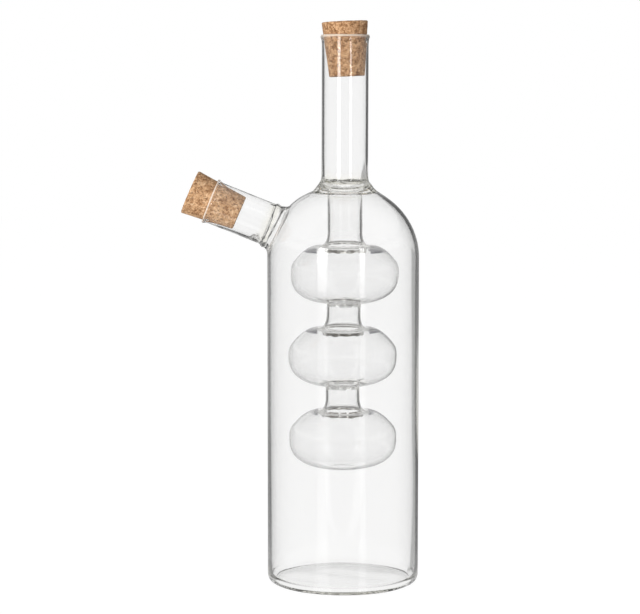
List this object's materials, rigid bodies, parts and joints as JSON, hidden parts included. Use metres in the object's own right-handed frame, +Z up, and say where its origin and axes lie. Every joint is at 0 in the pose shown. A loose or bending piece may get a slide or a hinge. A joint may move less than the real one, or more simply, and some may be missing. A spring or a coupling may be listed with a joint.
{
  "type": "oil and vinegar bottle",
  "caption": "Clear glass bottle for oil and vinegar: a straight vessel with a corked side spout round a hanging chain of bulbs that pours from the corked neck.",
  "frame": {"origin": "centre of the flat underside, on the body's axis", "axes": "+Z up the bottle, -X towards the side spout, +Y to the back"},
  "size_m": [0.1096, 0.07, 0.2595],
  "materials": {
    "glass": "clear",
    "cork": "matte"
  },
  "bodies": {
    "glass": {"outer_body": "glass", "neck_tube": "glass", "neck_weld_collar": "glass", "inner_stem": "glass", "upper_bulb": "glass", "middle_bulb": "glass", "lower_bulb": "glass", "spout_tube": "glass", "spout_weld_collar": "glass"},
    "neck_cork": {"neck_cork": "cork"},
    "spout_cork": {"spout_cork": "cork"}
  },
  "joints": [
    {"name": "neck_cork_pull", "type": "slide", "parent": "glass", "child": "neck_cork", "axis": [0, 0, 1], "range_m": [0, 0.03]},
    {"name": "spout_cork_pull", "type": "slide", "parent": "glass", "child": "spout_cork", "axis": [-0.9285, 0, 0.3714], "range_m": [0, 0.026]}
  ]
}
